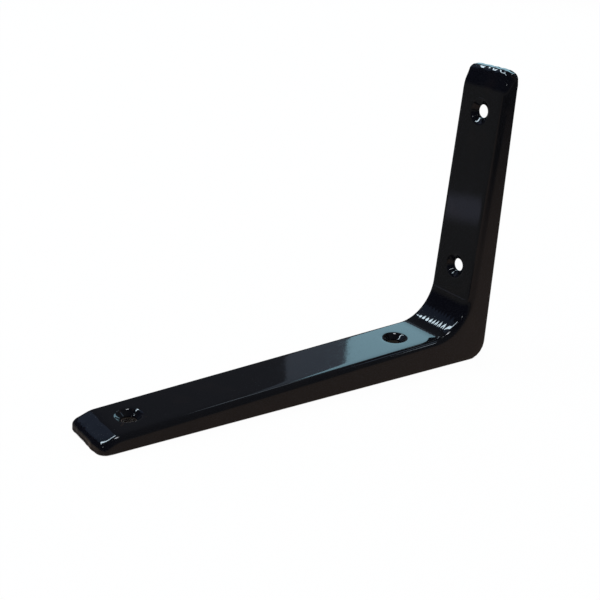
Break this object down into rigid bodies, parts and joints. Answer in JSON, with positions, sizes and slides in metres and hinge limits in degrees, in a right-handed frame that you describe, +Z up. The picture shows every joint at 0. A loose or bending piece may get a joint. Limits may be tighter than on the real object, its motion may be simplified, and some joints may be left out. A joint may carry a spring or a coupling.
{
  "type": "angle bracket",
  "caption": "L-shaped shelf bracket of pressed sheet steel, with open-backed channel arms of unequal length, dished screw holes and gloss black paint.",
  "frame": {"origin": "the corner where the shelf plane (Z = 0) and the wall plane (X = 0) meet, at mid width", "axes": "+X out along the long arm, +Z up the short arm, +Y across the width; the shelf's side of the part is -Z and the wall's side is -X"},
  "size_m": [0.15, 0.021, 0.102],
  "materials": {
    "black_paint": "high gloss"
  },
  "bodies": {
    "root": {"bracket": "black_paint"}
  },
  "joints": []
}
